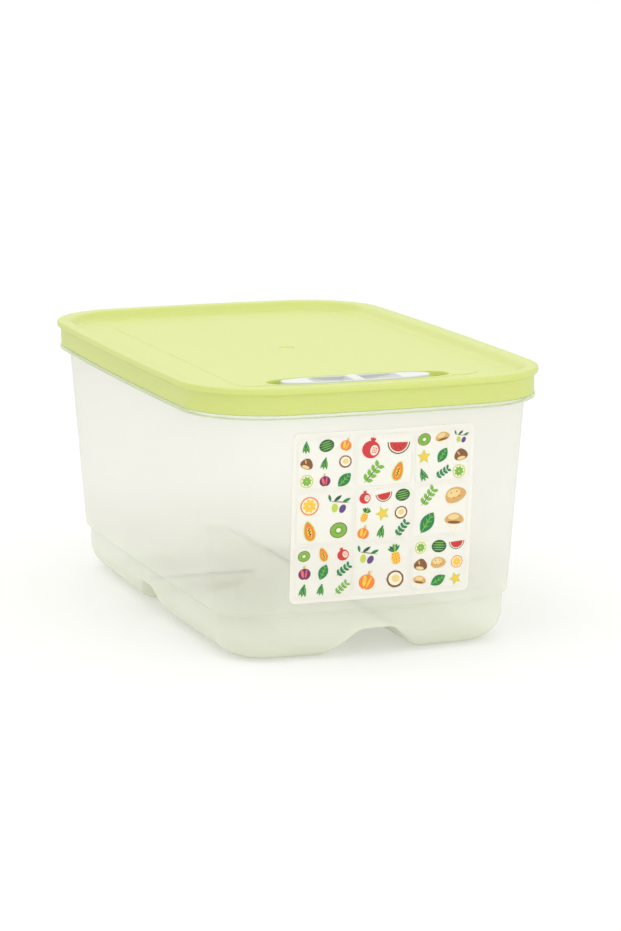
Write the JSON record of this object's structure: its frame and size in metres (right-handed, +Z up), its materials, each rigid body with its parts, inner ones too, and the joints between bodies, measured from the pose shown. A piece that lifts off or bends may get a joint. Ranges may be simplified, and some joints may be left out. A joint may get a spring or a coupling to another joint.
{
  "type": "produce storage bin",
  "caption": "See-through produce bin with drafted walls on a lobed foot, a press-on lid with a sunk top, and a slider that opens and closes the vent in the lid.",
  "frame": {"origin": "middle of the resting plane under the foot", "axes": "+Z up, -Y out of the short wall with the picture film, +X to its right seen from the front"},
  "size_m": [0.19, 0.299, 0.139],
  "materials": {
    "bin_plastic": "frosted see-through polypropylene",
    "lid_plastic": "soft satin polyethylene, lime",
    "slider_plastic": "satin white",
    "film": "thin printed film moulded into the wall"
  },
  "bodies": {
    "bin_body": {"bin": "bin_plastic", "picture_film": "film"},
    "lid_body": {"lid": "lid_plastic"},
    "slider_body": {"vent_slider": "slider_plastic"}
  },
  "joints": [
    {"name": "lid_lift", "type": "slide", "parent": "bin_body", "child": "lid_body", "axis": [0, 0, 1], "range_m": [0, 0.16]},
    {"name": "vent_slide", "type": "slide", "parent": "lid_body", "child": "slider_body", "axis": [1, 0, 0], "range_m": [-0.005, 0.008]}
  ]
}
